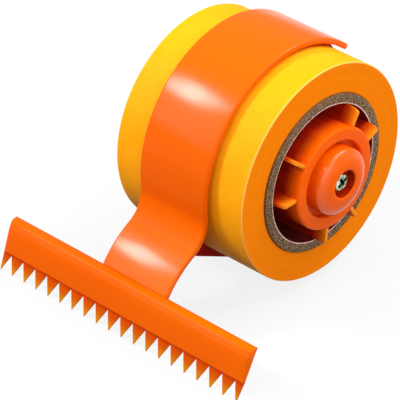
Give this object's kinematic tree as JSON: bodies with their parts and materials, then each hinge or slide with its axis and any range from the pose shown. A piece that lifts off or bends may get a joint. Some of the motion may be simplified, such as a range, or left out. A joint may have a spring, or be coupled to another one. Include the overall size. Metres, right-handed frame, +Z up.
{
  "type": "masking tape applicator",
  "caption": "Hand-held masking tape applicator: rolls of tape turn on finned hubs either side of a centre web, under a curved strap that carries a long toothed cutter bar.",
  "frame": {"origin": "on the ground under the middle of the object's box", "axes": "+X along the roll axle, -Y towards the cutter bar, +Z up"},
  "size_m": [0.1694, 0.1722, 0.131],
  "materials": {
    "orange_plastic": "glossy moulded orange",
    "tape_paper": "matt yellow crepe paper tape",
    "core_board": "grey speckled recycled board",
    "zinc_steel": "zinc plated",
    "nylon": "natural nylon",
    "felt": "pressed felt"
  },
  "bodies": {
    "frame": {"frame": "orange_plastic", "cutter_bar": "orange_plastic", "bar_screw_right": "zinc_steel", "bar_screw_left": "zinc_steel", "cap_right": "orange_plastic", "cap_left": "orange_plastic", "cap_screw_right": "zinc_steel", "cap_screw_left": "zinc_steel", "thrust_washer_right": "nylon", "thrust_washer_left": "nylon", "friction_washer_right": "felt", "friction_washer_left": "felt"},
    "right_roll": {"hub_right": "orange_plastic", "core_right": "core_board", "tape_right": "tape_paper"},
    "left_roll": {"hub_left": "orange_plastic", "core_left": "core_board", "tape_left": "tape_paper"}
  },
  "joints": [
    {"name": "right_roll_spin", "type": "hinge", "parent": "frame", "child": "right_roll", "pos_m": [0.0234, 0.02138, 0.0661], "axis": [1, 0, 0], "continuous": true},
    {"name": "left_roll_spin", "type": "hinge", "parent": "frame", "child": "left_roll", "pos_m": [-0.0234, 0.02138, 0.0661], "axis": [1, 0, 0], "continuous": true}
  ]
}
